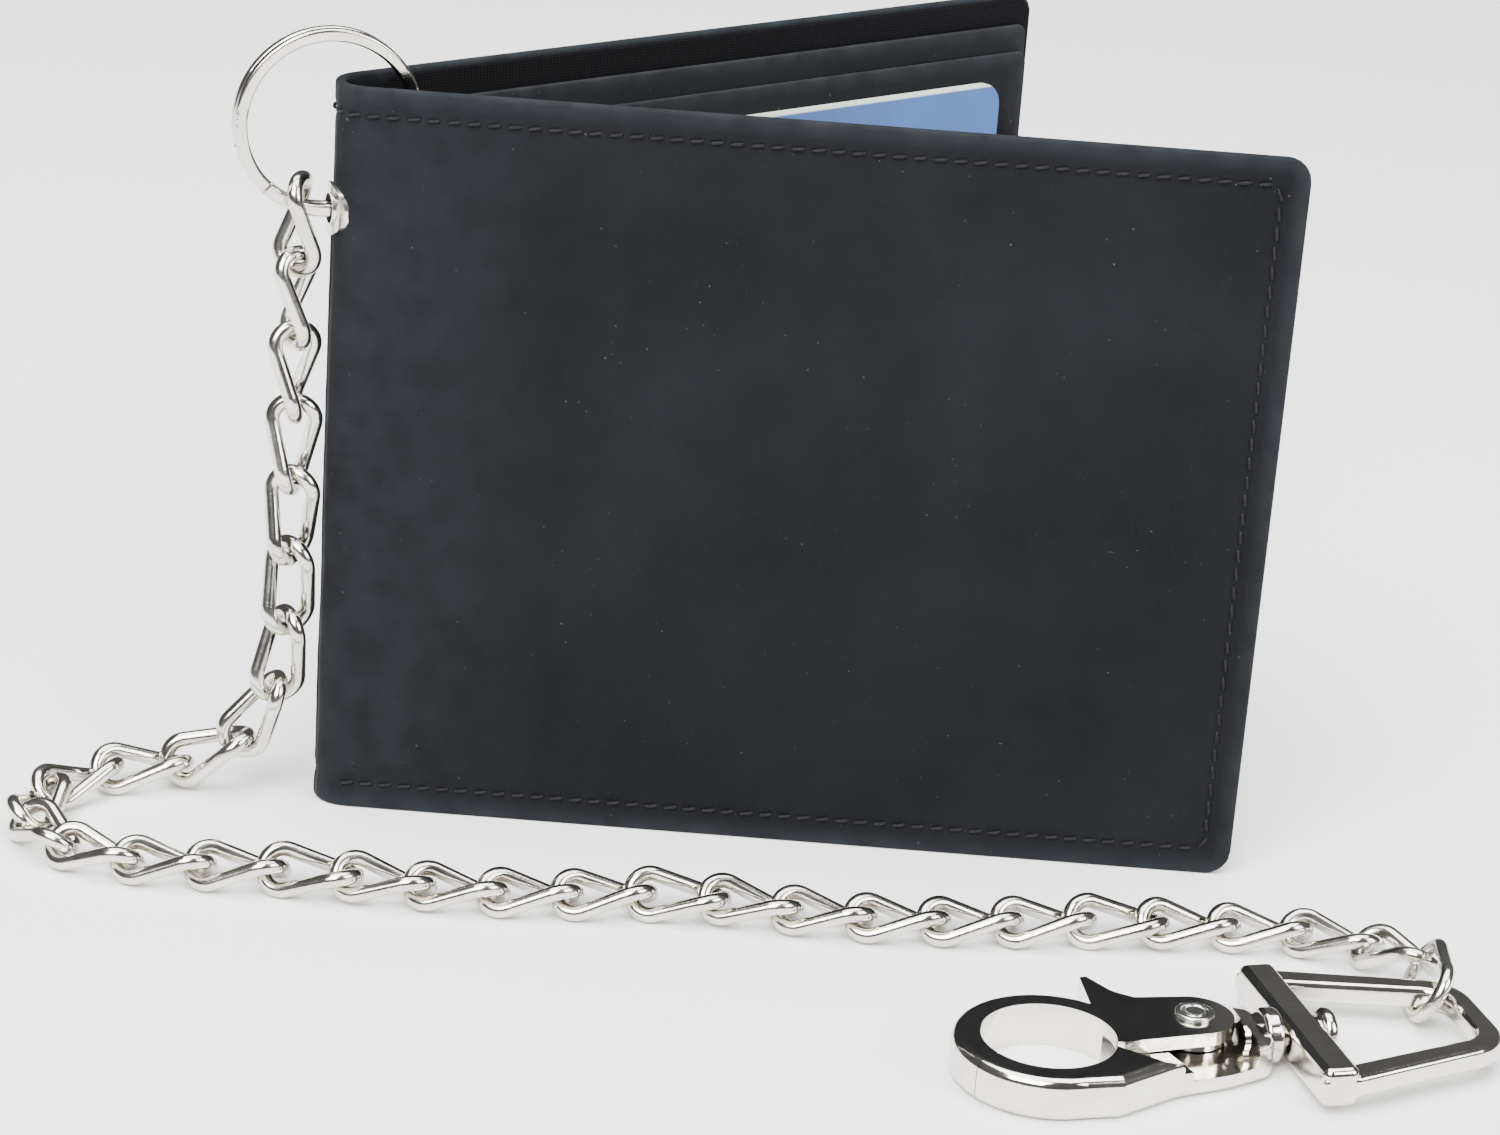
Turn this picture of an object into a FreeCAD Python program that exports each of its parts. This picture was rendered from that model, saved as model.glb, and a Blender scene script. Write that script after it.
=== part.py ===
"""Chain wallet: a leather bifold standing open in a V, with a split ring through an eyelet in its
spine, a twisted curb chain and a swivel trigger snap on the chain's end.

World frame, in millimetres: Z is up from the table. X runs along the front half, from its crease at
the spine to its free edge. Y points from the front half towards the back half. The origin is on the
table, at the middle of the front half's bottom edge.
"""
import math
import os

import FreeCAD
import Part
import Sketcher
from FreeCAD import Placement, Rotation, Vector

SIZES = {
    # the folded wallet
    "wallet_height": 89.0,
    "half_length": 107.0,
    "spine_radius": 4.3,
    "opening_angle": 42.0,
    "crease_gap": 0.7,
    "cover_thick": 1.1,
    "lining_thick": 0.3,
    "sheet_thick": 0.45,
    "bill_gap": 0.1,
    "corner_radius": 3.0,
    "lining_inset": 0.6,
    "lining_start": 3.0,
    "pocket_start": 9.0,
    "pocket_inset": 1.4,
    "pocket_bottom": 0.8,
    "divider_top": 85.0,
    "pocket_upper_top": 81.5,
    "pocket_middle_top": 70.5,
    "pocket_lower_top": 59.5,
    # the card in the back half
    "card_length": 85.6,
    "card_height": 54.0,
    "card_thick": 0.76,
    "card_corner": 3.2,
    "card_slot": 0.85,
    "card_top": 78.0,
    "card_start": 15.0,
    # eyelet and split ring
    "eyelet_height": 73.9,
    "eyelet_bore": 1.75,
    "eyelet_barrel": 2.05,
    "eyelet_flange": 3.1,
    "eyelet_thick": 0.45,
    "washer_radius": 2.6,
    "washer_thick": 0.35,
    "ring_radius": 11.0,
    "ring_radial": 1.5,
    "ring_turn_width": 1.15,
    "ring_turn_gap": 0.1,
    "ring_centre_out": 5.1,
    "ring_centre_height": 84.1,
    # chain
    "wire_diameter": 1.8,
    "link_length": 10.85,
    "link_half_width": 3.15,
    "link_bend": 2.35,
    "link_twist": 45.0,
    "link_count": 32,
    "hanging_links": 7,
    "hanging_pitch": 8.9,
    "end_link_wire": 1.6,
    "end_link_length": 11.6,
    "end_link_half_width": 3.2,
    "end_link_pitch": 9.4,
    "end_link_roll": 62.0,
    # trigger snap, in its own frame: along its axis, across it and up
    "snap_x": 83.2,
    "snap_y": -55.3,
    "snap_angle": 17.0,
    "snap_bottom": 0.05,
    "snap_thick": 4.9,
    "claw_bore": 7.4,
    "claw_outer": 10.5,
    "jaw_split": 205.0,
    "cheek_thick": 2.1,
    "stripe_thick": 3.2,
    "gate_gap": 0.15,
    "rivet_along": 17.6,
    "rivet_across": 2.6,
    "rivet_radius": 1.4,
    "rivet_head": 2.2,
    "gate_hub": 4.4,
    "post_height": 3.3,
    "post_radius": 1.7,
    "post_head": 2.7,
    "collar_radius": 3.1,
    "eye_start": 26.6,
    "eye_base": 4.2,
    "eye_length": 24.4,
    "eye_half_width": 13.0,
    "eye_bar": 2.8,
    "eye_thick": 2.7,
    "eye_base_thick": 4.6,
    "spring_wire": 0.5,
}

# The chain's line, from the split ring down beside the spine, round to the left and along in front
# of the wallet to the swivel eye. Distances are from the crease of the front half's outer face.
CHAIN_ROUTE = [
    (-7.6, 1.4, 76.5),
    (-7.6, 1.4, 50.0),
    (-7.6, 1.4, 27.0),
    (-8.2, 1.4, 17.5),
    (-10.8, 1.6, 10.0),
    (-15.6, 2.0, 5.1),
    (-21.5, 2.1, 2.9),
    (-27.0, 0.6, 2.4),
    (-33.2, -4.4, 2.35),
    (-35.8, -11.5, 2.35),
    (-33.0, -18.6, 2.35),
    (-26.4, -23.2, 2.35),
    (-17.5, -24.3, 2.35),
    (8.0, -25.0, 2.35),
    (26.0, -25.0, 2.35),
    (44.0, -23.2, 2.35),
    (60.0, -24.3, 2.35),
    (80.0, -22.8, 2.35),
    (97.0, -20.6, 2.35),
    (106.0, -19.4, 2.35),
    (114.5, -19.2, 2.35),
    (123.3, -22.9, 2.75),
    (127.3, -30.0, 4.3),
    (126.6, -37.2, 4.0),
]
# Links that are rolled about the chain's own line, in degrees.
LINK_ROLL = {
    1: -8, 2: 22, 3: 47, 4: 70, 5: 90, 6: 108, 7: 122, 8: 137, 9: 147, 10: 166,
    16: 5, 17: 20, 18: 4, 21: 5, 22: 20, 23: 4, 27: 5, 28: 20, 29: 4,
}
LYING_HEIGHT = 2.35
ROLL_LIFT = 0.0245
UP = Vector(0, 0, 1)

os.makedirs("parts", exist_ok=True)
doc = FreeCAD.newDocument("chain_wallet")


def make_sheet():
    sheet = doc.addObject("Spreadsheet::Sheet", "sizes")
    for row, (name, value) in enumerate(SIZES.items(), start=1):
        sheet.set(f"A{row}", name)
        sheet.set(f"B{row}", str(value))
        sheet.setAlias(f"B{row}", name)
    doc.recompute()
    return sheet


sizes = make_sheet()
nodes = []


def size(name):
    return float(sizes.get(name))


def keep(item, label, placement=None):
    """Names a finished sub-part and lists it for export."""
    item.Label = label
    if placement is not None:
        item.Placement = placement
    nodes.append(item)
    return item


def turned(angle):
    return Rotation(UP, angle)


# ---------------------------------------------------------------- frames of the wallet's halves
crease = Vector(-size("half_length") / 2, -size("cover_thick") / 2, 0)
spine_centre = crease + Vector(0, size("spine_radius"), 0)
bisector = turned(size("opening_angle") / 2).multVec(Vector(1, 0, 0))
back_normal = turned(size("opening_angle")).multVec(Vector(0, 1, 0))
front_frame = Placement(crease, Rotation())
back_frame = Placement(spine_centre + back_normal * size("spine_radius"), turned(size("opening_angle")))


# ---------------------------------------------------------------- flat leather and card
def rectangle_sketch(body, label, left, right, bottom, top, offset):
    """A rectangle on the body's XZ plane, each side bound to an expression of the sizes."""
    plane = next(item for item in body.Origin.OriginFeatures if item.Role == "XZ_Plane")
    sketch = body.newObject("Sketcher::SketchObject", label + "_outline")
    sketch.AttachmentSupport = [(plane, "")]
    sketch.MapMode = "FlatFace"
    sketch.setExpression("AttachmentOffset.Base.z", offset)
    corners = [Vector(0, 0, 0), Vector(50, 0, 0), Vector(50, 50, 0), Vector(0, 50, 0)]
    places = [(left, bottom), (right, bottom), (right, top), (left, top)]
    for index in range(4):
        line = Part.LineSegment(corners[index], corners[(index + 1) % 4])
        sketch.addGeometry(line, False)
    for index in range(4):
        sketch.addConstraint(Sketcher.Constraint("Coincident", index, 2, (index + 1) % 4, 1))
    for index, (across, up) in enumerate(places):
        for kind, rule, start in (("DistanceX", across, corners[index].x), ("DistanceY", up,
            corners[index].y)):
            number = sketch.addConstraint(Sketcher.Constraint(kind, -1, 1, index, 1, start))
            sketch.setExpression(f"Constraints[{number}]", rule)
    return sketch


def edges_through_thickness(shape, along, heights):
    """Names of the edges that run through a flat piece's thickness at its corners."""
    found = []
    for index, edge in enumerate(shape.Edges, start=1):
        first, last = edge.Vertexes[0].Point, edge.Vertexes[-1].Point
        if abs(first.x - last.x) > 1e-6 or abs(first.z - last.z) > 1e-6:
            continue
        at_corner = any(abs(first.z - height) < 1e-6 for height in heights)
        if at_corner and any(abs(first.x - place) < 1e-6 for place in along):
            found.append(f"Edge{index}")
    return found


def flat_piece(label, half, left, right, bottom, top, depth, thick, corner, both_ends=False):
    """One flat layer of a half. depth is counted inward from the cover's outer face."""
    inward = 1 if half == "front" else -1
    body = doc.addObject("PartDesign::Body", label)
    offset = f"-({depth})" if half == "front" else depth
    sketch = rectangle_sketch(body, label, left, right, bottom, top, offset)
    pad = body.newObject("PartDesign::Pad", label + "_pad")
    pad.Profile = sketch
    pad.Reversed = inward > 0
    pad.setExpression("Length", thick)
    sketch.Visibility = False
    doc.recompute()
    box = pad.Shape.BoundBox
    ends = [box.XMin, box.XMax] if both_ends else [box.XMax]
    fillet = body.newObject("PartDesign::Fillet", label + "_corners")
    fillet.Base = (pad, edges_through_thickness(pad.Shape, ends, [box.ZMin, box.ZMax]))
    fillet.setExpression("Radius", corner)
    return keep(body, label, front_frame if half == "front" else back_frame)


def make_half(half):
    """Cover, lining, bill divider and three stepped pockets, from the outside in."""
    free_edge = "sizes.half_length - sizes.pocket_inset"
    lining = "sizes.cover_thick"
    divider = f"{lining} + sizes.lining_thick + sizes.bill_gap"
    upper = f"{divider} + sizes.sheet_thick"
    middle = f"{upper} + sizes.sheet_thick + sizes.card_slot"
    lower = f"{middle} + sizes.sheet_thick"
    flat_piece(half + "_cover", half, "sizes.crease_gap", "sizes.half_length", "0 * sizes.wallet_height",
               "sizes.wallet_height", "0 * sizes.cover_thick", "sizes.cover_thick", "sizes.corner_radius")
    flat_piece(half + "_lining", half, "sizes.lining_start", "sizes.half_length - sizes.lining_inset",
               "sizes.lining_inset", "sizes.wallet_height - sizes.lining_inset",
               lining, "sizes.lining_thick", "sizes.corner_radius - sizes.lining_inset")
    layers = (("divider", divider, "divider_top"), ("pocket_upper", upper, "pocket_upper_top"),
              ("pocket_middle", middle, "pocket_middle_top"), ("pocket_lower", lower, "pocket_lower_top"))
    for name, depth, top in layers:
        flat_piece(f"{half}_{name}", half, "sizes.pocket_start", free_edge, "sizes.pocket_bottom",
                   "sizes." + top, depth, "sizes.sheet_thick", "sizes.corner_radius - sizes.pocket_inset")


def make_card():
    depth = ("sizes.cover_thick + sizes.lining_thick + sizes.bill_gap + 2 * sizes.sheet_thick"
             " + (sizes.card_slot - sizes.card_thick) / 2")
    flat_piece("card", "back", "sizes.card_start", "sizes.card_start + sizes.card_length",
               "sizes.card_top - sizes.card_height", "sizes.card_top", depth, "sizes.card_thick",
               "sizes.card_corner", both_ends=True)


# ---------------------------------------------------------------- spine and eyelet
def cylinder(label, radius, height, placement, angle=None):
    item = doc.addObject("Part::Cylinder", label)
    item.setExpression("Radius", radius)
    item.setExpression("Height", height)
    if angle is not None:
        item.setExpression("Angle", angle)
    item.Placement = placement
    return item


def boolean(kind, label, base, tool):
    item = doc.addObject("Part::" + kind, label)
    item.Base = base
    item.Tool = tool
    return item


def spine_sector(label, outer, inner, bottom, height, trim):
    """A curved wall round the spine's centre line, from one crease to the other less a trim."""
    start = 90 + size("opening_angle") + trim
    angle = f"180 - sizes.opening_angle - 2 * {trim}"
    place = Placement(spine_centre + UP * bottom, turned(start))
    wall = cylinder(label + "_outer", outer, height, place, angle)
    core = cylinder(label + "_inner", inner, height, place, angle)
    return boolean("Cut", label + "_wall", wall, core)


def eyelet_cylinder(label, radius, start, length):
    """A cylinder on the eyelet's axis, which points from the spine's centre line outward."""
    outward = Rotation(UP, bisector * -1)
    base = spine_centre + UP * size("eyelet_height") - bisector * start
    return cylinder(label, radius, length, Placement(base, outward))


def make_spine():
    trim = round(math.degrees(size("crease_gap") / size("spine_radius")), 2)
    cover = spine_sector("spine_cover", "sizes.spine_radius", "sizes.spine_radius - sizes.cover_thick",
                         0, "sizes.wallet_height", trim)
    hole = eyelet_cylinder("spine_cover_hole", "sizes.eyelet_barrel", 0, "2 * sizes.spine_radius")
    keep(boolean("Cut", "spine_cover_cut", cover, hole), "spine_cover")
    inset = size("lining_inset")
    lining = spine_sector("spine_lining", "sizes.spine_radius - sizes.cover_thick",
                          "sizes.spine_radius - sizes.cover_thick - sizes.lining_thick",
                          inset, "sizes.wallet_height - 2 * sizes.lining_inset", trim)
    hole = eyelet_cylinder("spine_lining_hole", "sizes.eyelet_barrel", 0, "2 * sizes.spine_radius")
    keep(boolean("Cut", "spine_lining_cut", lining, hole), "spine_lining")


def make_eyelet():
    """A flange bedded on the round spine, a barrel through the leather and a washer inside."""
    flange_trim = 25
    bottom = size("eyelet_height") - 2 * size("eyelet_flange")
    span = "4 * sizes.eyelet_flange"
    shell = spine_sector("eyelet_shell", "sizes.spine_radius + sizes.eyelet_thick", "sizes.spine_radius",
                         bottom, span, flange_trim)
    disc = eyelet_cylinder("eyelet_disc", "sizes.eyelet_flange", 0, "2 * sizes.spine_radius")
    flange = boolean("Common", "eyelet_flange_piece", shell, disc)
    inside = size("spine_radius") - size("cover_thick") - size("lining_thick") - size("washer_thick")
    length = "sizes.cover_thick + sizes.lining_thick + sizes.washer_thick + sizes.eyelet_thick"
    barrel = eyelet_cylinder("eyelet_barrel_piece", "sizes.eyelet_barrel", inside, length)
    blank = boolean("Fuse", "eyelet_blank", flange, barrel)
    bore = eyelet_cylinder("eyelet_bore_piece", "sizes.eyelet_bore", 0, "2 * sizes.spine_radius")
    keep(boolean("Cut", "eyelet_cut", blank, bore), "eyelet")
    leather = "sizes.spine_radius - sizes.cover_thick - sizes.lining_thick"
    ring = spine_sector("washer_shell", leather, leather + " - sizes.washer_thick", bottom, span,
        flange_trim / 5)
    disc = eyelet_cylinder("washer_disc", "sizes.washer_radius", 0, "2 * sizes.spine_radius")
    washer = boolean("Common", "washer_blank", ring, disc)
    bore = eyelet_cylinder("washer_bore", "sizes.eyelet_barrel", 0, "2 * sizes.spine_radius")
    keep(boolean("Cut", "washer_cut", washer, bore), "eyelet_washer")


# ---------------------------------------------------------------- split ring
def ring_turn(inner, outer, middle, width):
    """One turn of the ring's flat wire: a rectangular section with rounded corners."""
    half = width / 2
    corners = [Vector(inner, 0, middle - half), Vector(outer, 0, middle - half),
               Vector(outer, 0, middle + half), Vector(inner, 0, middle + half)]
    face = Part.Face(Part.makePolygon(corners + corners[:1]))
    turn = face.revolve(Vector(0, 0, 0), UP, 360)
    return turn.makeFillet(width / 3, turn.Edges)


def make_split_ring():
    """Two turns of flat wire side by side, each with its cut end beside the crossing between them."""
    outer = size("ring_radius")
    inner = outer - size("ring_radial")
    width = size("ring_turn_width")
    middle = (width + size("ring_turn_gap")) / 2
    end_gap = 0.35
    crossing_angle = 16
    ring = None
    for side in (-1, 1):
        turn = ring_turn(inner, outer, side * middle, width)
        notch = Part.makeBox(outer, end_gap, width + 0.2, Vector(0, -end_gap / 2,
            side * middle - width / 2 - 0.1))
        notch.rotate(Vector(0, 0, 0), UP, side * crossing_angle)
        turn = turn.cut(notch)
        ring = turn if ring is None else ring.fuse(turn)
    bridge_section = Part.Face(Part.makePolygon([
        Vector(inner + 0.2, 0, -middle), Vector(outer - 0.2, 0, -middle), Vector(outer - 0.2, 0, middle),
        Vector(inner + 0.2, 0, middle), Vector(inner + 0.2, 0, -middle)]))
    bridge = bridge_section.revolve(Vector(0, 0, 0), UP, 2 * crossing_angle - 8)
    bridge.rotate(Vector(0, 0, 0), UP, 4 - crossing_angle)
    ring = ring.fuse(bridge)
    item = doc.addObject("Part::Feature", "split_ring")
    item.Shape = ring
    centre = spine_centre - bisector * size("ring_centre_out") + UP * size("ring_centre_height")
    across = UP.cross(bisector)
    crossing_up = Rotation(across, 150)
    upright = Rotation(bisector, UP * -1, across, "ZXY")
    return keep(item, "split_ring", Placement(centre, crossing_up * upright))


# ---------------------------------------------------------------- chain
def link_shape(wire, length, half_width, bend, twist):
    """A closed loop of round wire whose two ends are twisted opposite ways about its length."""
    end = length / 2
    side = half_width * math.cos(math.radians(twist))
    rise = half_width * math.sin(math.radians(twist))
    corners = [Vector(-end, -side, -rise), Vector(-end, side, rise), Vector(end, side, -rise),
        Vector(end, -side, rise)]
    pieces = []
    arcs = []
    for index, corner in enumerate(corners):
        along = (corner - corners[index - 1]).normalize()
        onward = (corners[(index + 1) % 4] - corner).normalize()
        turn = along.getAngle(onward)
        reach = bend * math.tan(turn / 2)
        start = corner - along * reach
        axis = along.cross(onward).normalize()
        section = Part.Face(Part.Wire(Part.Circle(start, along, wire / 2).toShape()))
        pieces.append(section.revolve(start + axis.cross(along) * bend, axis, math.degrees(turn)))
        arcs.append((start, corner + onward * reach))
    for index in range(4):
        start = arcs[index][1]
        run = arcs[(index + 1) % 4][0] - start
        pieces.append(Part.makeCylinder(wire / 2, run.Length, start, run))
    return pieces[0].multiFuse(pieces[1:]).removeSplitter()


def step_along(curve, parameter, distance):
    """The parameter of the next point on the curve that is this far from the given one."""
    here = curve.value(parameter)
    low, high = parameter, curve.LastParameter
    if (curve.value(high) - here).Length < distance:
        return None
    probe = parameter
    stride = (high - curve.FirstParameter) / 2000
    while (curve.value(min(probe, high)) - here).Length < distance:
        probe += stride
    low, high = probe - stride, min(probe, high)
    for _ in range(40):
        middle = (low + high) / 2
        if (curve.value(middle) - here).Length < distance:
            low = middle
        else:
            high = middle
    return high


def walk(curve, slack_pitch):
    """The joints of the chain, and whether the last link passes the end of its line."""
    joints = [curve.value(curve.FirstParameter)]
    parameter = curve.FirstParameter
    hanging, lying = int(size("hanging_links")), int(size("link_count")) - int(size("hanging_links"))
    pitches = [size("hanging_pitch")] * hanging + [slack_pitch] * lying + [size("end_link_pitch")]
    for pitch in pitches:
        parameter = step_along(curve, parameter, pitch)
        if parameter is None:
            return joints, True
        joints.append(curve.value(parameter))
    return joints, False


def chain_joints():
    """The points where each link meets its neighbour. The lying links share the line's slack."""
    curve = Part.BSplineCurve()
    curve.interpolate([crease + Vector(*place) for place in CHAIN_ROUTE])
    low, high = 7.5, size("hanging_pitch")
    for _ in range(30):
        middle = (low + high) / 2
        if walk(curve, middle)[1]:
            high = middle
        else:
            low = middle
    joints = walk(curve, low)[0]
    for number, roll in LINK_ROLL.items():
        for joint in (joints[number - 1], joints[number]):
            joint.z = max(joint.z, LYING_HEIGHT + ROLL_LIFT * min(roll, 180 - roll))
    return joints


def chain_up(height, along):
    """The flat side of an unrolled link faces away from the spine while it hangs, and up where it lies."""
    lying_height, hanging_height = 4.0, 14.0
    share = min(max((height - lying_height) / (hanging_height - lying_height), 0), 1)
    guide = UP - bisector * share
    return (guide - along * guide.dot(along)).normalize()


def link_placement(start, end, roll):
    """A link between two joints: upright beside the spine, and lying on the table beyond."""
    middle = (start + end) * 0.5
    along = (end - start).normalize()
    up = chain_up(middle.z, along)
    upright = Rotation(along, up.cross(along), up, "XZY")
    return Placement(middle, upright * Rotation(Vector(1, 0, 0), roll))


def make_chain():
    """Alike twisted links, and a plain oval end link that holds the swivel eye."""
    twisted = link_shape(size("wire_diameter"), size("link_length"), size("link_half_width"),
                         size("link_bend"), size("link_twist"))
    joints = chain_joints()
    for number in range(1, int(size("link_count")) + 1):
        link = doc.addObject("Part::Feature", f"link_{number:02d}")
        link.Shape = twisted
        place = link_placement(joints[number - 1], joints[number], LINK_ROLL.get(number, 0))
        keep(link, f"link_{number:02d}", place)
    half_width = size("end_link_half_width")
    end_link = doc.addObject("Part::Feature", "end_link")
    end_link.Shape = link_shape(size("end_link_wire"), size("end_link_length"), half_width,
        half_width - 0.1, 0)
    keep(end_link, "end_link", link_placement(joints[-2], joints[-1], size("end_link_roll")))
    return joints


# ---------------------------------------------------------------- trigger snap
snap_frame = Placement(Vector(size("snap_x"), size("snap_y"), 0) + crease, turned(size("snap_angle")))


def plate(corners, bottom, thick):
    face = Part.Face(Part.makePolygon([Vector(x, y, bottom) for x, y in corners + corners[:1]]))
    return face.extrude(UP * thick)


def upright_edges(shape, places):
    """The edges that stand up at the given plan positions."""
    found = []
    for edge in shape.Edges:
        first, last = edge.Vertexes[0].Point, edge.Vertexes[-1].Point
        stands = abs(first.z - last.z) > 0.1 and (first - last).cross(UP).Length < 1e-6
        if stands and any((Vector(first.x, first.y, 0) - Vector(x, y, 0)).Length < 0.01 for x, y in places):
            found.append(edge)
    return found


def snap_part(label, shape):
    item = doc.addObject("Part::Feature", label)
    item.Shape = shape
    return keep(item, label, snap_frame * shape.Placement)


def make_hook_body():
    """The fixed near half of the claw, the shank with the trigger's seat in it, and the swivel post."""
    bottom, thick = size("snap_bottom"), size("snap_thick")
    bore, outer = size("claw_bore"), size("claw_outer")
    cheek, stripe = size("cheek_thick"), size("stripe_thick")
    shank_corners = [(-1.0, -10.4), (5.0, -10.6), (12.4, -7.4), (19.0, -6.2), (24.8, -4.2), (24.8, 3.6),
                     (21.0, 5.6), (14.0, 7.0), (11.0, 6.6), (11.0, 0.0), (5.0, 0.0)]
    shank = plate(shank_corners, bottom, thick)
    shank = shank.makeFillet(8.0, upright_edges(shank, [(12.4, -7.4)]))
    shank = shank.makeFillet(2.0, upright_edges(shank, [(24.8, -4.2), (24.8, 3.6), (21.0, 5.6)]))
    blank = Part.makeCylinder(outer, thick, Vector(0, 0, bottom)).fuse(shank).removeSplitter()
    body = soften(blank, 1.2).cut(Part.makeCylinder(bore, thick, Vector(0, 0, bottom)))
    stripe_seat = [(6.2, -2.8), (10.5, -7.3), (22.4, -7.3), (22.4, 12.0), (5.0, 14.0), (5.0, -2.7)]
    hub_seat = [(14.4, -8.0), (22.4, -8.0), (22.4, 12.0), (5.0, 14.0), (11.0, 5.0)]
    jaw_opening = Part.makeCylinder(outer + 0.6, thick, Vector(0, 0, bottom), UP, size("jaw_split") + 20.6)
    jaw_opening.rotate(Vector(0, 0, 0), UP, -20)
    body = body.cut(plate(stripe_seat, bottom + stripe, thick)).cut(plate(hub_seat, bottom + cheek, thick))
    body = body.cut(jaw_opening)
    along = Vector(1, 0, 0)
    height = size("post_height")
    collar = Part.makeCylinder(size("collar_radius"), 2.1, Vector(size("eye_start") - 2.4, 0,
        height), along)
    reach = 4.5 + size("eye_base") + 0.7
    post = Part.makeCylinder(size("post_radius"), reach, Vector(size("eye_start") - 4.5, 0, height), along)
    head = Part.makeCylinder(size("post_head"), 1.7,
        Vector(size("eye_start") + size("eye_base") + 0.3, 0, height), along)
    body = body.fuse(collar.makeFillet(0.6, collar.Edges)).fuse(post).fuse(head.makeFillet(0.8, head.Edges))
    rivet_hole = Part.makeCylinder(size("rivet_radius"), thick, rivet_point(bottom))
    return snap_part("hook_body", body.cut(rivet_hole))


def rivet_point(height):
    return Vector(size("rivet_along"), size("rivet_across"), height)


def soften(shape, radius):
    """Rounds the top and bottom rims of a cast piece."""
    top, bottom = shape.BoundBox.ZMax, shape.BoundBox.ZMin
    rims = [edge for edge in shape.Edges if edge.BoundBox.ZLength < 1e-4
            and (abs(edge.BoundBox.ZMax - top) < 1e-3 or abs(edge.BoundBox.ZMin - bottom) < 1e-3)]
    return shape.makeFillet(radius, rims)


def make_trigger():
    """The sprung gate: the far half of the claw, a plate over the seat with a hub round the rivet, and
    a thumb lever."""
    bottom, thick = size("snap_bottom"), size("snap_thick")
    gap, cheek, stripe = size("gate_gap"), size("cheek_thick"), size("stripe_thick")
    bore, outer = size("claw_bore"), size("claw_outer")
    hub = size("gate_hub")
    under = bottom + stripe + gap
    outline = [(7.0, 6.6), (7.9, 12.9), (8.7, 13.0), (10.4, 9.2), (12.4, 7.5),
               (size("rivet_along"), size("rivet_across") + hub), (size("rivet_along"),
                   size("rivet_across") - hub),
               (9.6, -2.3), (5.0, -2.5)]
    gate = plate(outline, under, thick - stripe - gap)
    gate = gate.makeFillet(3.0, upright_edges(gate, [(10.4, 9.2)]))
    gate = gate.fuse(Part.makeCylinder(hub, thick - stripe - gap, rivet_point(under))).removeSplitter()
    gate = gate.fuse(Part.makeCylinder(hub - 0.8, thick - cheek - gap, rivet_point(bottom + cheek + gap)))
    sector = Part.makeCylinder(outer, thick, Vector(0, 0, bottom), UP, size("jaw_split") - 18)
    sector.rotate(Vector(0, 0, 0), UP, 18)
    rim = soften(Part.makeCylinder(outer, thick, Vector(0, 0, bottom)), 1.2)
    lever = plate(outline[:5], bottom + cheek, thick - cheek)
    gate = gate.fuse(rim.common(sector)).fuse(lever)
    gate = gate.cut(Part.makeCylinder(bore, thick, Vector(0, 0, bottom)))
    gate = gate.cut(Part.makeCylinder(size("rivet_radius") + 0.05, thick, rivet_point(bottom)))
    spring_room = Part.makeCylinder(2.6, 1.4, rivet_point(bottom + cheek + gap))
    return snap_part("hook_trigger", gate.cut(spring_room))


def make_rivet():
    bottom, thick = size("snap_bottom"), size("snap_thick")
    shaft = Part.makeCylinder(size("rivet_radius"), thick, rivet_point(bottom))
    head = Part.makeCylinder(size("rivet_head"), 0.5, rivet_point(bottom + thick + 0.05))
    neck = Part.makeCylinder(size("rivet_radius"), 0.1, rivet_point(bottom + thick))
    groove = Part.makeTorus(1.3, 0.3, rivet_point(bottom + thick + 0.55))
    return snap_part("trigger_rivet", shaft.fuse(neck).fuse(head.makeFillet(0.3,
        head.Edges[:1])).cut(groove))


def make_spring():
    """A torsion spring of one turn and two legs round the rivet, in its room under the trigger."""
    wire = size("spring_wire")
    turn = 2.0
    start = size("snap_bottom") + size("cheek_thick") + size("gate_gap") + wire / 2 + 0.3
    section = Part.Face(Part.Wire(Part.Circle(Vector(turn, 0, 0), Vector(0, 1, 0), wire / 2).toShape()))
    coil = section.revolve(Vector(0, 0, 0), UP, 320)
    leg = Part.makeCylinder(wire / 2, 0.9, Vector(turn, 0, 0), Vector(0, -1, 0))
    far_leg = leg.copy()
    far_leg.rotate(Vector(0, 0, 0), Vector(1, 0, 0), 180)
    far_leg.rotate(Vector(0, 0, 0), UP, 320)
    coil = coil.fuse(leg).fuse(far_leg)
    coil.translate(rivet_point(start))
    return snap_part("trigger_spring", coil)


def make_swivel_eye():
    """A D-shaped eye: a thick base bar with the post's hole, and a tapering loop."""
    start, base = size("eye_start"), size("eye_base")
    half, bar = size("eye_half_width"), size("eye_bar")
    end = start + size("eye_length")
    height = size("post_height")
    shoulder = half - 5.5
    outside = [(start, -half), (start + base, -half), (end, -shoulder), (end, shoulder),
        (start + base, half),
               (start, half)]
    loop = plate(outside, height - size("eye_thick") / 2, size("eye_thick"))
    loop = loop.makeFillet(5.5, upright_edges(loop, [(end, -shoulder), (end, shoulder)]))
    inner_half, inner_shoulder = half - bar - 0.6, shoulder - bar + 0.6
    inside = [(start, -inner_half), (start + base, -inner_half), (end - bar, -inner_shoulder),
              (end - bar, inner_shoulder), (start + base, inner_half), (start, inner_half)]
    opening = plate(inside, height - 5, 10)
    opening = opening.makeFillet(3.2, upright_edges(opening, inside[2:4]))
    eye = soften(loop.cut(opening), 0.8)
    thick = size("eye_base_thick")
    block = Part.makeBox(base, 2 * half, thick, Vector(start, -half, height - thick / 2))
    block = block.makeFillet(1.0, block.Edges)
    eye = eye.fuse(block)
    hole = Part.makeCylinder(size("post_radius") + 0.06, base + 2, Vector(start - 1, 0, height),
        Vector(1, 0, 0))
    return snap_part("swivel_eye", eye.cut(hole))


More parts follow.
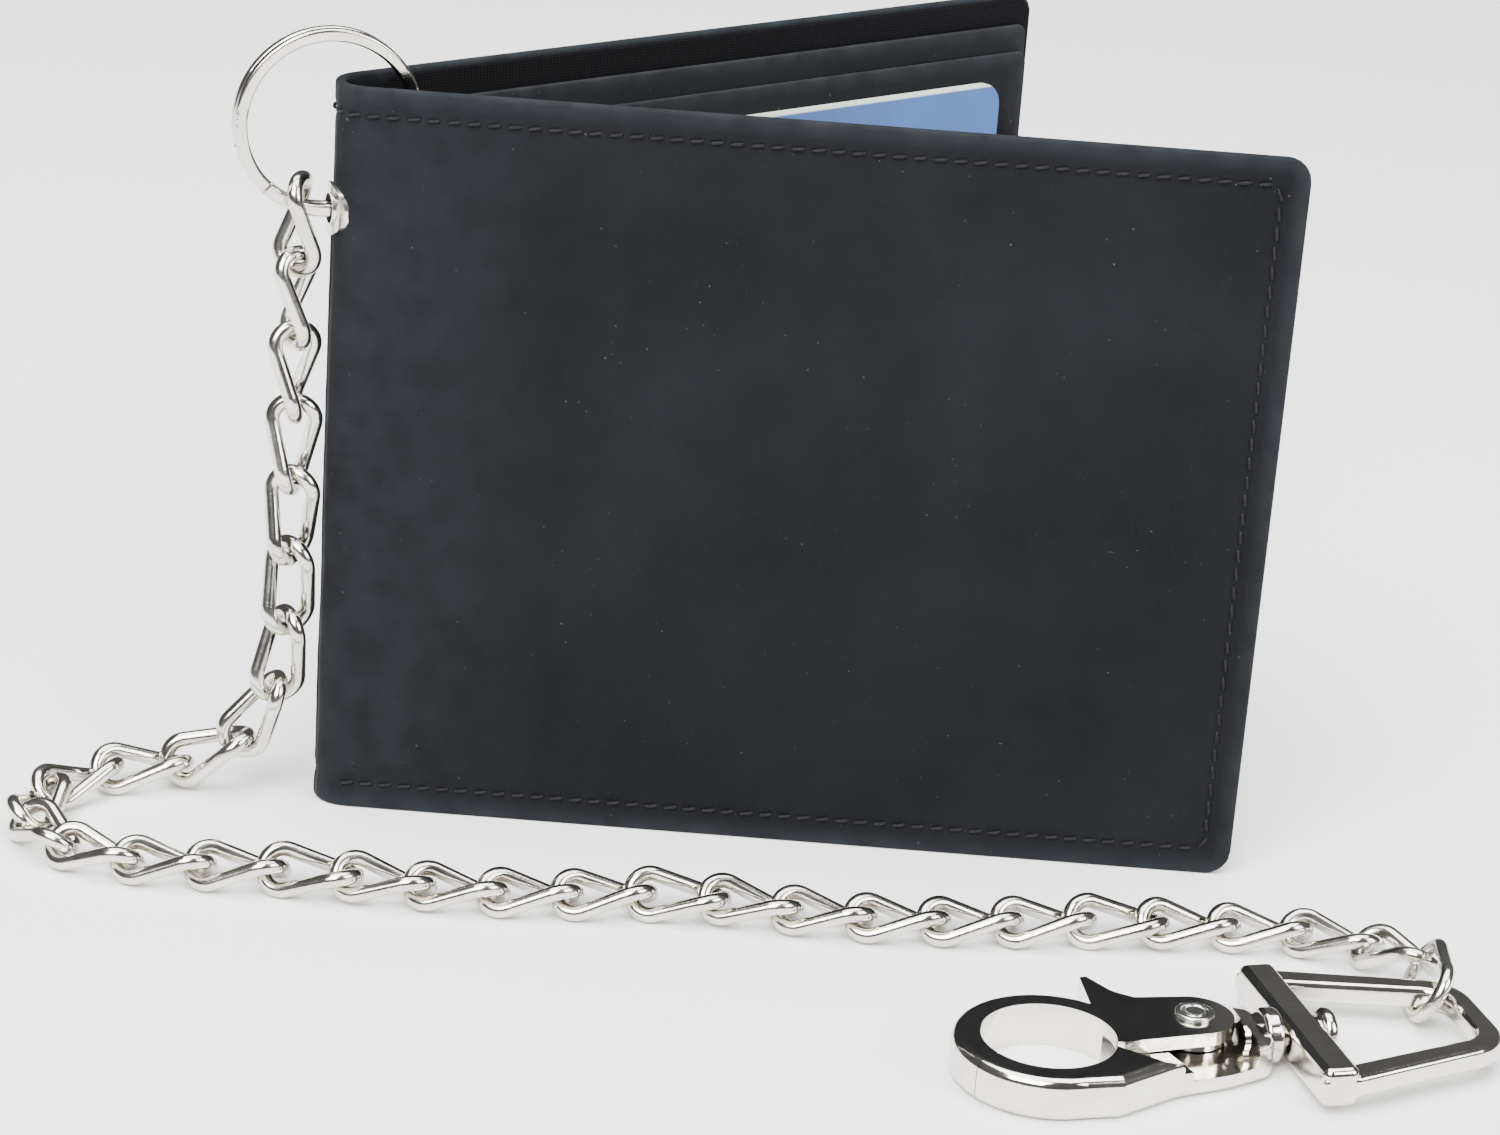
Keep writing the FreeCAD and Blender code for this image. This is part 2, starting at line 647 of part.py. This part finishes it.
def check_and_export():
    doc.recompute()
    for item in doc.Objects:
        if "Invalid" in item.State or "Error" in item.State:
            raise RuntimeError(item.Label + " did not build")
    for item in nodes:
        shape = item.Shape
        if shape.isNull() or not shape.isValid() or not shape.Solids:
            raise RuntimeError(item.Label + " has no valid solid")
        shape.exportStep(os.path.join("parts", item.Label + ".step"))


make_spine()
make_eyelet()
make_split_ring()
for half_name in ("front", "back"):
    make_half(half_name)
make_card()
link_joints = make_chain()
make_hook_body()
make_trigger()
make_rivet()
make_spring()
make_swivel_eye()
check_and_export()
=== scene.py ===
"""Looks of the chain wallet: modelled leather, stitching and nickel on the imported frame."""
import math

import bmesh
import bpy
from mathutils import Matrix, Vector, noise


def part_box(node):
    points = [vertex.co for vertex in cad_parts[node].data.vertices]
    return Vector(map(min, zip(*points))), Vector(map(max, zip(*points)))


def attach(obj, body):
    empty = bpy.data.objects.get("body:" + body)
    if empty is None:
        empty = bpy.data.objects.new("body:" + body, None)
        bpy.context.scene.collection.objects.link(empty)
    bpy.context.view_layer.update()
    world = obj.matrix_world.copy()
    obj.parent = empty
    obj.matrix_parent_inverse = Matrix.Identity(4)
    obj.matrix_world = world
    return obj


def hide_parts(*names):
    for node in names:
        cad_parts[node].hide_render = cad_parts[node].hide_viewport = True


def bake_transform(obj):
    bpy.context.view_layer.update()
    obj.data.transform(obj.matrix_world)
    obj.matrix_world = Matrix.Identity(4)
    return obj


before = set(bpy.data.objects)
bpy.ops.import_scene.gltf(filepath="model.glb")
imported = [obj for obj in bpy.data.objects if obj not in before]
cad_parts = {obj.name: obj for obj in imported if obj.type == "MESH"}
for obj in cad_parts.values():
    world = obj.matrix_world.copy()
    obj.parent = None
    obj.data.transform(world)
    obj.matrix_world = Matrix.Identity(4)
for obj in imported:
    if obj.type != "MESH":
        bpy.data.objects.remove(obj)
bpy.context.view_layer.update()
MM = 0.001

# ---------------------------------------------------------------- the wallet's frame
SPINE_RADIUS = 4.3 * MM
COVER = 1.1 * MM
OPENING = math.radians(42.0)
EYELET_HEIGHT = 73.9 * MM
EYELET_HOLE = 2.06 * MM
UP = Vector((0, 0, 1))


def corner(values):
    return Vector(tuple(float(value) for value in values))


cover_low, cover_high = (corner(values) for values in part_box("front_cover"))
CREASE = Vector((-53.5 * MM, cover_low.y, 0))
CENTRE = CREASE + Vector((0, SPINE_RADIUS, 0))
HEIGHT = cover_high.z
HALF = cover_high.x - CREASE.x
APEX = math.pi + OPENING / 2
ARC = SPINE_RADIUS * (math.pi - OPENING) / 2
ALONG = {"front": Vector((1, 0, 0)), "back": Vector((math.cos(OPENING), math.sin(OPENING), 0))}
OUTWARD = {"front": Vector((0, -1, 0)), "back": Vector((-math.sin(OPENING), math.cos(OPENING), 0))}
BASE = {"front": CREASE, "back": CENTRE + OUTWARD["back"] * SPINE_RADIUS}


def cover_path(half):
    """The cover's outer line, from the middle of the spine round to the free edge."""
    way = 1 if half == "front" else -1

    def at(distance):
        if distance < ARC:
            angle = APEX + way * distance / SPINE_RADIUS
            outward = Vector((math.cos(angle), math.sin(angle), 0))
            return CENTRE + outward * SPINE_RADIUS, outward
        return BASE[half] + ALONG[half] * (distance - ARC), OUTWARD[half]

    return at


def straight_path(half, start, depth):
    def at(distance):
        return BASE[half] + ALONG[half] * (start + distance) - OUTWARD[half] * depth, OUTWARD[half]

    return at


def local_box(node, half):
    """A node's extents along the half, inward from its outer face, and up."""
    places = [vertex.co - BASE[half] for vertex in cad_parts[node].data.vertices]
    along = [place.dot(ALONG[half]) for place in places]
    depth = [-place.dot(OUTWARD[half]) for place in places]
    heights = [place.z for place in places]
    return min(along), max(along), min(depth), max(depth), min(heights), max(heights)


# ---------------------------------------------------------------- leather sheets
GROOVE_DEPTH = 0.22 * MM
GROOVE_WIDTH = 0.55 * MM
TOP_GROOVE_DEPTH = 0.12 * MM
TOP_GROOVE_WIDTH = 0.4 * MM
WEAR_WIDTH = 2.2 * MM
FINE_WAVE = 0.03 * MM
SWAY_SCALE = 55
FINE_SCALE = 420


def spread(length, step, fine):
    """Positions along a side, close together near both of its ends."""
    ends = [0.0, 0.06, 0.16, 0.3, 0.5, 0.75, 1.0]
    count = max(2, round((length - 2 * fine) / step))
    middle = [fine + (length - 2 * fine) * index / count for index in range(count + 1)]
    finish = [length - fine * value for value in reversed(ends[:-1])]
    return [fine * value for value in ends[:-1]] + middle + finish


def edge_distance(s, z, length, low, high, radius, open_start):
    """How far a place is from the sheet's rounded outline."""
    left = -10.0 if open_start else 0.0
    half_width, half_height = (length - left) / 2, (high - low) / 2
    across = abs(s - (left + length) / 2) - (half_width - radius)
    up = abs(z - (low + high) / 2) - (half_height - radius)
    outside = math.hypot(max(across, 0), max(up, 0))
    return radius - outside - min(max(across, up), 0)


def leather_sheet(name, at, length, low, high, thick, radius, open_start=False, grooves=(), top_groove=None,
                  wave=0.12 * MM, step=1.5 * MM, seed=0.0):
    """A sheet with rounded edges and corners, pressed in along its grooves, gently uneven."""
    round_edge = thick * 0.47
    columns = spread(length, step, max(radius, 0.8 * MM))
    if open_start:
        columns = [0.0] + [value for value in columns if value > 0.7 * MM]
    rows = spread(1.0, step / (high - low), 2.2 * MM / (high - low))
    mesh = bmesh.new()
    wear = mesh.verts.layers.float.new("wear")
    faces = {1: [], -1: []}
    for s in columns:
        inset = radius - math.sqrt(max(radius ** 2 - max(s - (length - radius), 0) ** 2, 0))
        if not open_start:
            near = radius - math.sqrt(max(radius ** 2 - max(radius - s, 0) ** 2, 0))
            inset = max(inset, near)
        point, outward = at(s)
        line = {1: [], -1: []}
        for t in rows:
            z = low + inset + (high - low - 2 * inset) * t
            distance = max(edge_distance(s, z, length, low, high, radius, open_start), 0)
            fall = 0
            if distance < round_edge:
                fall = round_edge - math.sqrt(max(round_edge ** 2 - (round_edge - distance) ** 2, 0))
            press = sum(GROOVE_DEPTH * math.exp(-((distance - groove) / GROOVE_WIDTH) ** 2)
                        for groove in grooves)
            if top_groove is not None:
                press += TOP_GROOVE_DEPTH * math.exp(-((high - z - top_groove) / TOP_GROOVE_WIDTH) ** 2)
            sway = wave * noise.noise(Vector((s * SWAY_SCALE + seed, z * SWAY_SCALE, seed)))
            sway *= min(distance / (6 * MM), 1)
            fine = FINE_WAVE * noise.noise(Vector((s * FINE_SCALE, z * FINE_SCALE, seed + 7)))
            fine *= min(distance / (2 * MM), 1)
            outer = -fall - press + min(sway, 0) * 2 + fine
            inner = -thick + fall + min(press, thick * 0.25) + max(sway, 0)
            for side, offset in ((1, outer), (-1, inner)):
                vertex = mesh.verts.new(point + outward * offset + UP * z)
                vertex[wear] = max(0.0, 1 - distance / WEAR_WIDTH)
                line[side].append(vertex)
        for side in (1, -1):
            faces[side].append(line[side])
    for side in (1, -1):
        grid = faces[side]
        for a, b in zip(grid, grid[1:]):
            for index in range(len(rows) - 1):
                mesh.faces.new((a[index], b[index], b[index + 1], a[index + 1]))
    ends = [([line[0] for line in faces[1]], [line[0] for line in faces[-1]]),
            ([line[-1] for line in faces[1]], [line[-1] for line in faces[-1]]),
            (faces[1][0], faces[-1][0]), (faces[1][-1], faces[-1][-1])]
    for outer_line, inner_line in ends:
        for index in range(len(outer_line) - 1):
            mesh.faces.new((outer_line[index], outer_line[index + 1], inner_line[index + 1],
                            inner_line[index]))
    bmesh.ops.recalc_face_normals(mesh, faces=mesh.faces)
    return finish_mesh(name, mesh)


def finish_mesh(name, mesh):
    data = bpy.data.meshes.new(name)
    mesh.to_mesh(data)
    mesh.free()
    for polygon in data.polygons:
        polygon.use_smooth = True
    piece = bpy.data.objects.new(name, data)
    bpy.context.scene.collection.objects.link(piece)
    return piece


def cut_eyelet_hole(piece):
    """Opens the eyelet's hole in the leather at the spine."""
    mesh = bmesh.new()
    axis = Vector((math.cos(APEX), math.sin(APEX), 0))
    turn = axis.to_track_quat("Z", "Y").to_matrix().to_4x4()
    place = Matrix.Translation(CENTRE + axis * SPINE_RADIUS + UP * EYELET_HEIGHT) @ turn
    bmesh.ops.create_cone(mesh, cap_ends=True, segments=40, radius1=EYELET_HOLE, radius2=EYELET_HOLE,
                          depth=4 * MM, matrix=place)
    tool = finish_mesh(piece.name + "_tool", mesh)
    cut = piece.modifiers.new("hole", "BOOLEAN")
    cut.operation = "DIFFERENCE"
    cut.object = tool
    bpy.context.view_layer.update()
    whole = bpy.data.meshes.new_from_object(piece.evaluated_get(bpy.context.evaluated_depsgraph_get()))
    piece.modifiers.clear()
    piece.data = whole
    bpy.data.objects.remove(tool)


# ---------------------------------------------------------------- stitching
STITCH_INSET = 3.3 * MM
STITCH_PITCH = 2.3 * MM
STITCH_LENGTH = 1.95 * MM
STITCH_SINK = 0.15 * MM
THREAD_RADIUS = 0.22 * MM
THREAD_SIDES = 7
THREAD_RINGS = 7
THREAD_TWIST = 1.2


def rounded_outline(length, low, high, inset, radius, first):
    """Stitch line: along the top from the spine, down the free edge and back along the bottom."""
    right, top, bottom = length - inset, high - inset, low + inset
    points = [(first, top), (right - radius, top)]
    corner_steps = [(radius * math.sin(math.radians(a)), radius * math.cos(math.radians(a)))
                    for a in (30, 60, 90)]
    points += [(right - radius + sine, top - radius + cosine) for sine, cosine in corner_steps]
    points += [(right, bottom + radius)]
    points += [(right - radius + cosine, bottom + radius - sine) for sine, cosine in corner_steps]
    points += [(first + 3.0 * MM, bottom)]
    return [Vector((s, z)) for s, z in points]


def walk_line(points, pitch):
    """Places a pitch apart along a line, with its direction there."""
    left, found = 0.0, []
    for a, b in zip(points, points[1:]):
        run = (b - a).length
        way = (b - a) / run
        while left <= run:
            found.append((a + way * left, way))
            left += pitch
        left -= run
    return found


def stitches(name, at, line):
    """Each stitch is a short plump thread that dips into the leather at both ends, a little askew."""
    mesh = bmesh.new()
    for number, (place, way) in enumerate(walk_line(line, STITCH_PITCH)):
        tilt = 0.13 + 0.05 * noise.noise(Vector((number * 1.7, 3.1, 0.4)))
        way = Vector((way.x * math.cos(tilt) - way.y * math.sin(tilt),
                      way.x * math.sin(tilt) + way.y * math.cos(tilt)))
        loops = []
        for ring in range(THREAD_RINGS + 1):
            share = ring / THREAD_RINGS * 2 - 1
            spot = place + way * share * STITCH_LENGTH / 2
            point, outward = at(max(spot.x, 0))
            level = THREAD_RADIUS * 0.75 * (1 - share ** 4) - STITCH_SINK - THREAD_RADIUS * 1.2 * share ** 6
            middle = point + UP * spot.y + outward * level
            ahead, _ = at(max(spot.x + way.x * 0.1 * MM, 0))
            behind, _ = at(max(spot.x - way.x * 0.1 * MM, 0))
            run = (ahead - behind + UP * way.y * 0.2 * MM).normalized()
            side = run.cross(outward).normalized()
            radius = THREAD_RADIUS * (0.35 + 0.65 * (1 - share ** 6))
            loop = []
            for step in range(THREAD_SIDES):
                angle = 2 * math.pi * step / THREAD_SIDES + share * THREAD_TWIST
                rim = side * math.cos(angle) + outward * math.sin(angle)
                loop.append(mesh.verts.new(middle + rim * radius))
            loops.append(loop)
        for a, b in zip(loops, loops[1:]):
            for index in range(THREAD_SIDES):
                after = (index + 1) % THREAD_SIDES
                mesh.faces.new((a[index], a[after], b[after], b[index]))
        mesh.faces.new(list(reversed(loops[0])))
        mesh.faces.new(loops[-1])
    bmesh.ops.recalc_face_normals(mesh, faces=mesh.faces)
    return finish_mesh(name, mesh)


# ---------------------------------------------------------------- materials
def new_material(name):
    material = bpy.data.materials.new(name)
    material.use_nodes = True
    nodes = material.node_tree.nodes
    return material, nodes, material.node_tree.links, nodes["Principled BSDF"]


def texture(nodes, links, kind, coords, **settings):
    node = nodes.new(kind)
    for key, value in settings.items():
        node.inputs[key].default_value = value
    links.new(coords, node.inputs["Vector"])
    return node


def ramp(nodes, links, value, stops):
    node = nodes.new("ShaderNodeValToRGB")
    links.new(value, node.inputs["Fac"])
    elements = node.color_ramp.elements
    while len(elements) < len(stops):
        elements.new(0.5)
    for element, (place, shade) in zip(elements, stops):
        element.position = place
        element.color = (*shade, 1) if isinstance(shade, tuple) else (shade, shade, shade, 1)
    return node.outputs["Color"]


def mix(nodes, links, factor, first, second, kind="MIX"):
    node = nodes.new("ShaderNodeMix")
    node.data_type = "RGBA"
    node.blend_type = kind
    for socket, value in ((node.inputs[0], factor), (node.inputs[6], first), (node.inputs[7], second)):
        if isinstance(value, bpy.types.NodeSocket):
            links.new(value, socket)
        elif isinstance(value, tuple):
            socket.default_value = (*value, 1)
        else:
            socket.default_value = value
    return node.outputs[2]


SPECK_COLOUR = (0.10, 0.10, 0.105)
DUST_STARTS = -30 * MM
DUST_FULL = -56 * MM
DUST_STRENGTH = 0.42
LEATHER_ROUGHNESS = 0.82
LEATHER_SHEEN = 0.02


def raise_surface(nodes, links, shader, height, strength, distance):
    bump = nodes.new("ShaderNodeBump")
    bump.inputs["Strength"].default_value = strength
    bump.inputs["Distance"].default_value = distance
    links.new(height, bump.inputs["Height"])
    links.new(bump.outputs[0], shader.inputs["Normal"])


def leather_material(name, dark, light, worn):
    """Brushed black leather: cloudy tone, fine upright nap, pores, pale specks, worn edges, dusty spine."""
    material, nodes, links, shader = new_material(name)
    coords = nodes.new("ShaderNodeTexCoord").outputs["Object"]
    stretch = nodes.new("ShaderNodeMapping")
    stretch.inputs["Scale"].default_value = (1, 1, 0.28)
    links.new(coords, stretch.inputs["Vector"])
    clouds = texture(nodes, links, "ShaderNodeTexNoise", coords, Scale=38.0, Detail=5.0, Roughness=0.6)
    nap = texture(nodes, links, "ShaderNodeTexNoise", stretch.outputs[0],
                  Scale=2600.0, Detail=3.0, Roughness=0.6)
    pores = texture(nodes, links, "ShaderNodeTexVoronoi", coords, Scale=1500.0)
    specks = texture(nodes, links, "ShaderNodeTexNoise", coords, Scale=2100.0, Detail=1.0, Roughness=0.4)
    tone = mix(nodes, links, ramp(nodes, links, clouds.outputs["Fac"], [(0.35, 0.0), (0.7, 1.0)]),
               dark, light)
    tone = mix(nodes, links, ramp(nodes, links, nap.outputs["Fac"], [(0.3, 0.0), (0.75, 0.55)]), tone, light)
    tone = mix(nodes, links, ramp(nodes, links, specks.outputs["Fac"], [(0.775, 0.0), (0.80, 0.6)]), tone,
               SPECK_COLOUR)
    wear = nodes.new("ShaderNodeAttribute")
    wear.attribute_name = "wear"
    rub = texture(nodes, links, "ShaderNodeTexNoise", coords, Scale=260.0, Detail=4.0)
    edge = mix(nodes, links, 1.0, wear.outputs["Color"],
               ramp(nodes, links, rub.outputs["Fac"], [(0.3, 0.25), (0.7, 1.0)]), "MULTIPLY")
    tone = mix(nodes, links, edge, tone, worn)
    place = nodes.new("ShaderNodeSeparateXYZ")
    links.new(coords, place.inputs[0])
    near_spine = nodes.new("ShaderNodeMapRange")
    near_spine.inputs["From Min"].default_value = DUST_STARTS
    near_spine.inputs["From Max"].default_value = DUST_FULL
    near_spine.inputs["To Max"].default_value = DUST_STRENGTH
    links.new(place.outputs["X"], near_spine.inputs["Value"])
    dust = mix(nodes, links, 1.0, near_spine.outputs["Result"],
               ramp(nodes, links, rub.outputs["Fac"], [(0.35, 0.2), (0.65, 1.0)]), "MULTIPLY")
    tone = mix(nodes, links, dust, tone, worn)
    links.new(tone, shader.inputs["Base Color"])
    polish = [(0.2, LEATHER_ROUGHNESS - 0.12), (0.8, LEATHER_ROUGHNESS + 0.06)]
    links.new(ramp(nodes, links, nap.outputs["Fac"], polish), shader.inputs["Roughness"])
    shader.inputs["Sheen Weight"].default_value = LEATHER_SHEEN
    shader.inputs["Sheen Roughness"].default_value = 0.5
    shader.inputs["Specular IOR Level"].default_value = 0.07
    height = mix(nodes, links, 0.45, nap.outputs["Fac"], pores.outputs["Distance"])
    raise_surface(nodes, links, shader, height, strength=0.35, distance=0.12 * MM)
    return material


def cloth_material():
    """Dark woven lining."""
    material, nodes, links, shader = new_material("lining_cloth")
    coords = nodes.new("ShaderNodeTexCoord").outputs["Object"]
    weave = texture(nodes, links, "ShaderNodeTexWave", coords, Scale=900.0, Distortion=1.2, Detail=1.0)
    weave.bands_direction = "Z"
    cross = texture(nodes, links, "ShaderNodeTexWave", coords, Scale=900.0, Distortion=1.2, Detail=1.0)
    cross.bands_direction = "X"
    threads = mix(nodes, links, 0.5, weave.outputs["Fac"], cross.outputs["Fac"])
    links.new(ramp(nodes, links, threads, [(0.2, (0.002, 0.002, 0.0025)), (0.8, (0.006, 0.006, 0.007))]),
              shader.inputs["Base Color"])
    links.new(ramp(nodes, links, threads, [(0.2, 0.9), (0.8, 0.75)]), shader.inputs["Roughness"])
    shader.inputs["Specular IOR Level"].default_value = 0.07
    raise_surface(nodes, links, shader, threads, strength=0.3, distance=0.1 * MM)
    return material


def thread_material():
    """Waxed black thread with the twist of its strands."""
    material, nodes, links, shader = new_material("thread")
    coords = nodes.new("ShaderNodeTexCoord").outputs["Object"]
    turn = nodes.new("ShaderNodeMapping")
    turn.inputs["Rotation"].default_value = (0, math.radians(40), 0)
    links.new(coords, turn.inputs["Vector"])
    twist = texture(nodes, links, "ShaderNodeTexWave", turn.outputs[0],
                    Scale=1500.0, Distortion=2.0, Detail=2.0)
    shades = [(0.3, (0.002, 0.002, 0.0025)), (1.0, (0.014, 0.014, 0.016))]
    links.new(ramp(nodes, links, twist.outputs["Fac"], shades), shader.inputs["Base Color"])
    links.new(ramp(nodes, links, twist.outputs["Fac"], [(0.0, 0.6), (1.0, 0.42)]), shader.inputs["Roughness"])
    shader.inputs["Specular IOR Level"].default_value = 0.2
    raise_surface(nodes, links, shader, twist.outputs["Fac"], strength=0.5, distance=0.1 * MM)
    return material


def metal_material(name, bright, dull, low, high, scratch=0.25):
    """Plated metal: patchy tone and polish, fine scratches and small casting unevenness."""
    material, nodes, links, shader = new_material(name)
    coords = nodes.new("ShaderNodeTexCoord").outputs["Object"]
    patches = texture(nodes, links, "ShaderNodeTexNoise", coords, Scale=170.0, Detail=4.0, Roughness=0.6)
    stretch = nodes.new("ShaderNodeMapping")
    stretch.inputs["Scale"].default_value = (0.15, 1, 1)
    stretch.inputs["Rotation"].default_value = (0.3, 0.5, 0.7)
    links.new(coords, stretch.inputs["Vector"])
    scratches = texture(nodes, links, "ShaderNodeTexNoise", stretch.outputs[0],
                        Scale=3500.0, Detail=2.0, Roughness=0.7)
    lumps = texture(nodes, links, "ShaderNodeTexNoise", coords, Scale=420.0, Detail=2.0, Roughness=0.5)
    links.new(ramp(nodes, links, patches.outputs["Fac"], [(0.35, dull), (0.65, bright)]),
              shader.inputs["Base Color"])
    polish = mix(nodes, links, 0.35, patches.outputs["Fac"], scratches.outputs["Fac"])
    links.new(ramp(nodes, links, polish, [(0.3, low), (0.7, high)]), shader.inputs["Roughness"])
    shader.inputs["Metallic"].default_value = 1.0
    height = mix(nodes, links, scratch, lumps.outputs["Fac"], scratches.outputs["Fac"])
    raise_surface(nodes, links, shader, height, strength=0.22, distance=0.12 * MM)
    return material


def card_material(top):
    """A blue printed face with a pale core that shows along the card's top edge."""
    material, nodes, links, shader = new_material("card_plastic")
    coords = nodes.new("ShaderNodeTexCoord").outputs["Object"]
    split = nodes.new("ShaderNodeSeparateXYZ")
    links.new(coords, split.inputs[0])
    above = nodes.new("ShaderNodeMapRange")
    above.inputs["From Min"].default_value = top - 0.55 * MM
    above.inputs["From Max"].default_value = top - 0.35 * MM
    links.new(split.outputs["Z"], above.inputs["Value"])
    print_noise = texture(nodes, links, "ShaderNodeTexNoise", coords, Scale=60.0, Detail=3.0)
    blues = [(0.3, (0.010, 0.065, 0.23)), (0.7, (0.02, 0.10, 0.33))]
    blue = ramp(nodes, links, print_noise.outputs["Fac"], blues)
    links.new(mix(nodes, links, above.outputs["Result"], blue, (0.62, 0.7, 0.6)), shader.inputs["Base Color"])
    links.new(ramp(nodes, links, print_noise.outputs["Fac"], [(0.3, 0.3), (0.7, 0.4)]),
              shader.inputs["Roughness"])
    return material


cover_leather = leather_material("cover_leather", dark=(0.0042, 0.0044, 0.0058), light=(0.0085, 0.009, 0.011),
                                 worn=(0.018, 0.021, 0.024))
pocket_leather = leather_material("pocket_leather", dark=(0.005, 0.0052, 0.0065), light=(0.010,
                                                                                         0.0105, 0.0125),
                                  worn=(0.024, 0.026, 0.03))
lining_cloth = cloth_material()
thread = thread_material()
nickel = metal_material("nickel", bright=(0.74, 0.715, 0.655), dull=(0.60, 0.575, 0.51), low=0.10, high=0.24)
snap_nickel = metal_material("snap_nickel", bright=(0.79, 0.765, 0.705), dull=(0.69, 0.66, 0.595), low=0.06,
                             high=0.16, scratch=0.15)
steel = metal_material("rivet_steel", bright=(0.70, 0.69, 0.66), dull=(0.55, 0.54, 0.5), low=0.16, high=0.3)


def dress(piece, material, body):
    piece.data.materials.clear()
    piece.data.materials.append(material)
    if body:
        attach(piece, body)
    return piece


# ---------------------------------------------------------------- the wallet's leather
for half in ("front", "back"):
    body = half + "_half"
    path = cover_path(half)
    length = ARC + HALF
    seed = 3.0 if half == "front" else 11.0
    cover = leather_sheet(half + "_leather", path, length, 0.0, HEIGHT, COVER, 3.0 * MM, open_start=True,
                          grooves=(STITCH_INSET,), wave=0.16 * MM, step=1.3 * MM, seed=seed)
    cut_eyelet_hole(cover)
    dress(cover, cover_leather, None)
    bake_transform(cover)
    if half == "front":
        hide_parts("front_cover", "spine_cover")
    else:
        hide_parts("back_cover")
    seam = rounded_outline(length, 0.0, HEIGHT, STITCH_INSET, 1.6 * MM, 1.2 * MM)
    sewing = stitches(half + "_stitches", path, seam)
    dress(sewing, thread, None)
    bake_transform(sewing)

    start, end, near, far, low, high = local_box(half + "_lining", half)
    lining = leather_sheet(half + "_lining_sheet", straight_path(half, start, near), end - start, low, high,
                           far - near, 2.4 * MM, wave=0.03 * MM, step=2.5 * MM, seed=seed + 1)
    dress(lining, lining_cloth, body)
    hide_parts(half + "_lining")
    for number, layer in enumerate(("divider", "pocket_upper", "pocket_middle", "pocket_lower")):
        node = half + "_" + layer
        start, end, near, far, low, high = local_box(node, half)
        sheet = leather_sheet(node + "_leather", straight_path(half, start, near), end - start, low, high,
                              far - near, 1.6 * MM, top_groove=1.7 * MM, wave=0.0, step=2.0 * MM,
                              seed=seed + 2 + number)
        dress(sheet, pocket_leather, body)
        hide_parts(node)


LINING_GAP = 0.17
LINING_THICK = 0.3 * MM


def lining_path(distance):
    angle = math.pi / 2 + OPENING + LINING_GAP + distance / SPINE_RADIUS
    outward = Vector((math.cos(angle), math.sin(angle), 0))
    return CENTRE + outward * (SPINE_RADIUS - COVER), outward


spine_low, spine_high = (corner(values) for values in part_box("spine_lining"))
lining_length = SPINE_RADIUS * (math.pi - OPENING - 2 * LINING_GAP)
spine_sheet = leather_sheet("spine_lining_sheet", lining_path, lining_length, spine_low.z, spine_high.z,
                            LINING_THICK, LINING_THICK, wave=0.0, step=0.6 * MM)
cut_eyelet_hole(spine_sheet)
dress(spine_sheet, lining_cloth, "spine")
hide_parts("spine_lining")

# ---------------------------------------------------------------- metal and card
SNAP = ("hook_body", "hook_trigger", "swivel_eye")
for name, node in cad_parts.items():
    if name == "card":
        material = card_material(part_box("card")[1][2])
    elif name in SNAP:
        material = snap_nickel
    elif name in ("trigger_rivet", "trigger_spring"):
        material = steel
    elif name.startswith("link_") or name in ("end_link", "split_ring", "eyelet", "eyelet_washer"):
        material = nickel
    else:
        continue
    for index in range(max(len(node.material_slots), 1)):
        if node.material_slots:
            node.material_slots[index].material = material
        else:
            node.data.materials.append(material)

# ---------------------------------------------------------------- floor, light and camera
floor_data = bpy.data.meshes.new("floor")
reach = 6.0
floor_corners = [(-reach, -reach, 0), (reach, -reach, 0), (reach, reach, 0), (-reach, reach, 0)]
floor_data.from_pydata(floor_corners, [], [(0, 1, 2, 3)])
floor = bpy.data.objects.new("floor", floor_data)
bpy.context.scene.collection.objects.link(floor)
floor_material, _, _, shader = new_material("floor")
shader.inputs["Base Color"].default_value = (0.93, 0.93, 0.93, 1)
shader.inputs["Roughness"].default_value = 0.9
shader.inputs["Specular IOR Level"].default_value = 0.1
floor_data.materials.append(floor_material)

world = bpy.data.worlds.new("studio")
bpy.context.scene.world = world
world.use_nodes = True
world.node_tree.nodes["Background"].inputs["Color"].default_value = (1.0, 1.0, 1.0, 1)
world.node_tree.nodes["Background"].inputs["Strength"].default_value = 0.12


def area_light(name, place, aim, size, power):
    data = bpy.data.lights.new(name, "AREA")
    data.shape = "RECTANGLE"
    data.size, data.size_y = size
    data.energy = power
    lamp = bpy.data.objects.new(name, data)
    lamp.location = place
    lamp.rotation_euler = (Vector(aim) - Vector(place)).to_track_quat("-Z", "Y").to_euler()
    bpy.context.scene.collection.objects.link(lamp)


area_light("key", (-0.35, -0.75, 0.95), (0, 0, 0.03), (0.8, 0.8), 40.0)
area_light("fill", (0.9, -0.5, 0.7), (0, 0, 0.03), (0.6, 0.6), 14.0)
area_light("top", (0.0, 0.1, 1.3), (0, 0, 0), (1.4, 1.0), 34.0)

camera_data = bpy.data.cameras.new("camera")
camera_data.sensor_width = 36.0
camera_data.lens = 94.8
camera_data.clip_start = 0.01
camera = bpy.data.objects.new("camera", camera_data)
stand = Vector((-0.56, -435.16, 198.41)) * MM
yaw, pitch, roll = math.radians(-0.80), math.radians(20.62), math.radians(4.14)
forward = Vector((math.sin(yaw) * math.cos(pitch), math.cos(yaw) * math.cos(pitch), -math.sin(pitch)))
level = Vector((math.cos(yaw), -math.sin(yaw), 0))
above = level.cross(forward)
right = level * math.cos(roll) + above * math.sin(roll)
over = above * math.cos(roll) - level * math.sin(roll)
camera.matrix_world = Matrix(((right.x, over.x, -forward.x, stand.x), (right.y, over.y, -forward.y, stand.y),
                              (right.z, over.z, -forward.z, stand.z), (0, 0, 0, 1)))
bpy.context.scene.collection.objects.link(camera)
bpy.context.scene.camera = camera
